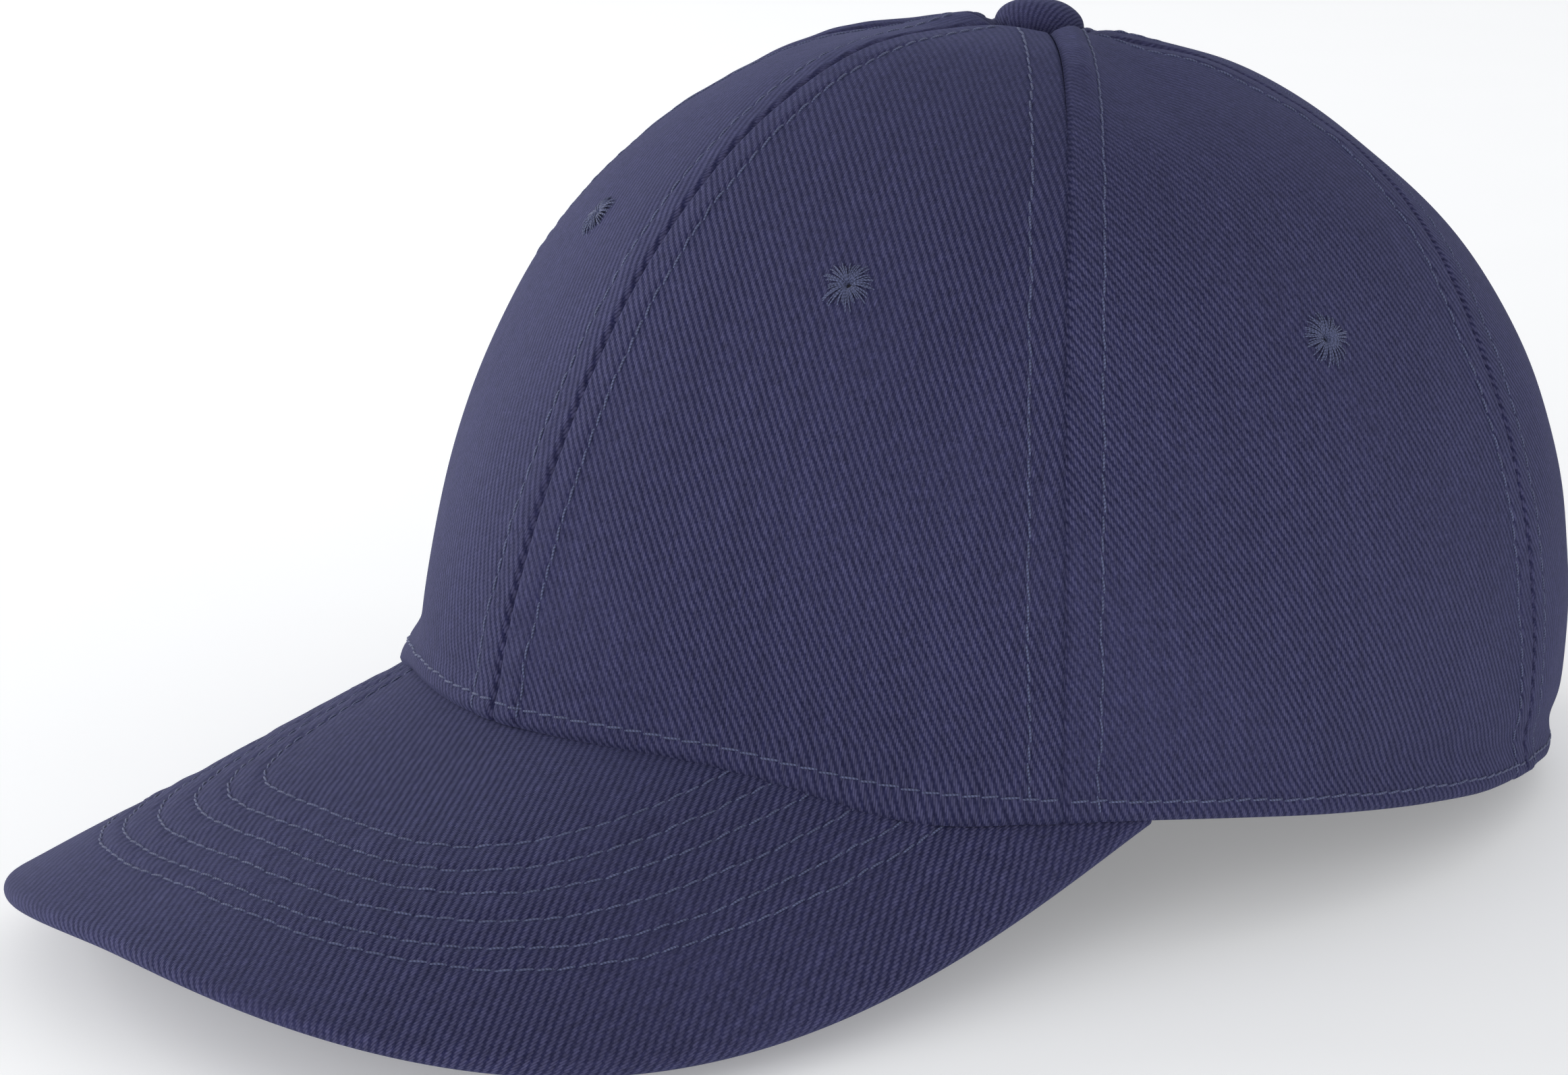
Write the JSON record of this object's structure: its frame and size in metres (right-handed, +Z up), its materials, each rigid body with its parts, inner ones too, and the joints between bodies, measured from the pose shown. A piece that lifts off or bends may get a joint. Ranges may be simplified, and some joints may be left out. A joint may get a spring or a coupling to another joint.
{
  "type": "baseball cap",
  "caption": "Six-panel twill baseball cap with a curved stitched visor, covered button and a strap-and-buckle adjuster at the back.",
  "frame": {"origin": "centre of the bounding box's bottom, on the table the cap stands on", "axes": "+Z up from the table, -Y the way the visor points, +X the wearer's left; the hem plane leans back so that the visor's corners and the back hem touch the table"},
  "size_m": [0.1788, 0.2762, 0.1317],
  "materials": {
    "navy_twill": "navy brushed cotton twill",
    "sweatband_cotton": "navy cotton sweatband",
    "padding_fleece": "white needle felt",
    "buckram": "off-white stiffened open weave",
    "seam_tape": "navy bias tape",
    "thread": "navy polyester thread",
    "label": "plain woven label, blank",
    "visor_board": "polyethylene board",
    "button_metal": "plated steel",
    "buckle_brass": "antique brass"
  },
  "bodies": {
    "crown": {"crown_front_left": "navy_twill", "crown_front_right": "navy_twill", "crown_side_left": "navy_twill", "crown_side_right": "navy_twill", "crown_back_left": "navy_twill", "crown_back_right": "navy_twill", "visor_top": "navy_twill", "visor_bottom": "navy_twill", "button_cover": "navy_twill", "buckle_tab": "navy_twill", "arch_facing": "navy_twill", "sweatband": "sweatband_cotton", "sweatband_padding": "padding_fleece", "buckram_left": "buckram", "buckram_right": "buckram", "seam_tape_side_left": "seam_tape", "seam_tape_side_right": "seam_tape", "seam_tape_back_left": "seam_tape", "seam_tape_back_right": "seam_tape", "seam_tape_centre": "seam_tape", "eyelet_front_left": "thread", "eyelet_front_right": "thread", "eyelet_side_left": "thread", "eyelet_side_right": "thread", "eyelet_back_left": "thread", "eyelet_back_right": "thread", "size_label": "label", "visor_board": "visor_board", "button_shell": "button_metal", "button_tack": "button_metal", "button_washer": "button_metal", "buckle_frame": "buckle_brass", "buckle_pin": "buckle_brass"},
    "strap": {"strap": "navy_twill"},
    "lever": {"buckle_lever": "buckle_brass"}
  },
  "joints": [
    {"name": "strap_adjust", "type": "hinge", "parent": "crown", "child": "strap", "pos_m": [0, 0.04828, 0.02406], "axis": [0, -0.1468, -0.9892], "range_deg": [0, 12]},
    {"name": "buckle_open", "type": "hinge", "parent": "crown", "child": "lever", "pos_m": [0.00643, 0.13588, 0.01139], "axis": [-0.0255, -0.0142, 0.9996], "range_deg": [0, 115]}
  ]
}
